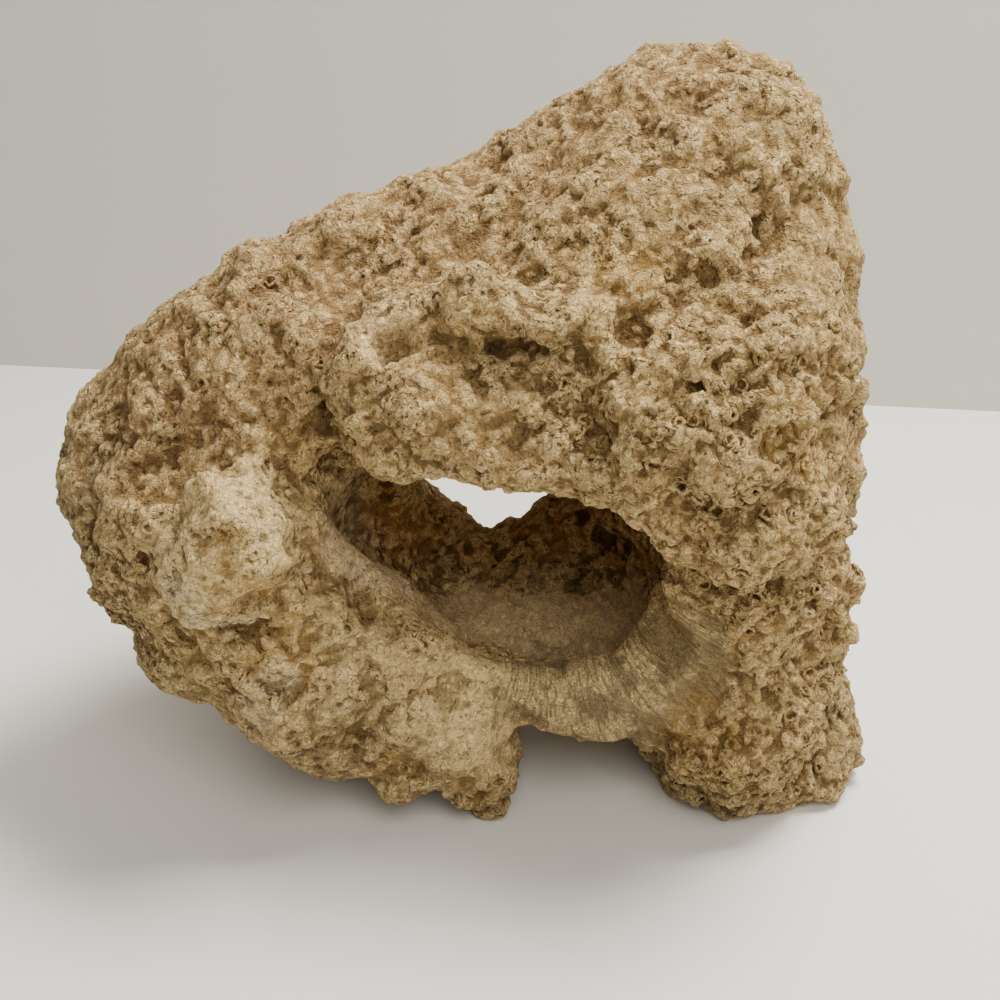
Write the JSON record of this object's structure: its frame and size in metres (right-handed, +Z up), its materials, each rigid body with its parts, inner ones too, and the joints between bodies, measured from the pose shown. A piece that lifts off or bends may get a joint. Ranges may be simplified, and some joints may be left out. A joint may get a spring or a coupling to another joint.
{
  "type": "fossil coral head",
  "caption": "Weathered wedge-shaped lump of porous fossil reef coral with a tunnel worn through it, standing on its own feet.",
  "frame": {"origin": "on the rest plane, under the middle of the lump's box", "axes": "+X along the lump's length, towards the high end; +Y from the wide mouth of the tunnel towards the back; +Z up"},
  "size_m": [0.245, 0.1582, 0.2189],
  "materials": {
    "fossil_coral": "rough, porous, cream to tan with darker stained hollows"
  },
  "bodies": {
    "root": {"coral_head": "fossil_coral"}
  },
  "joints": []
}
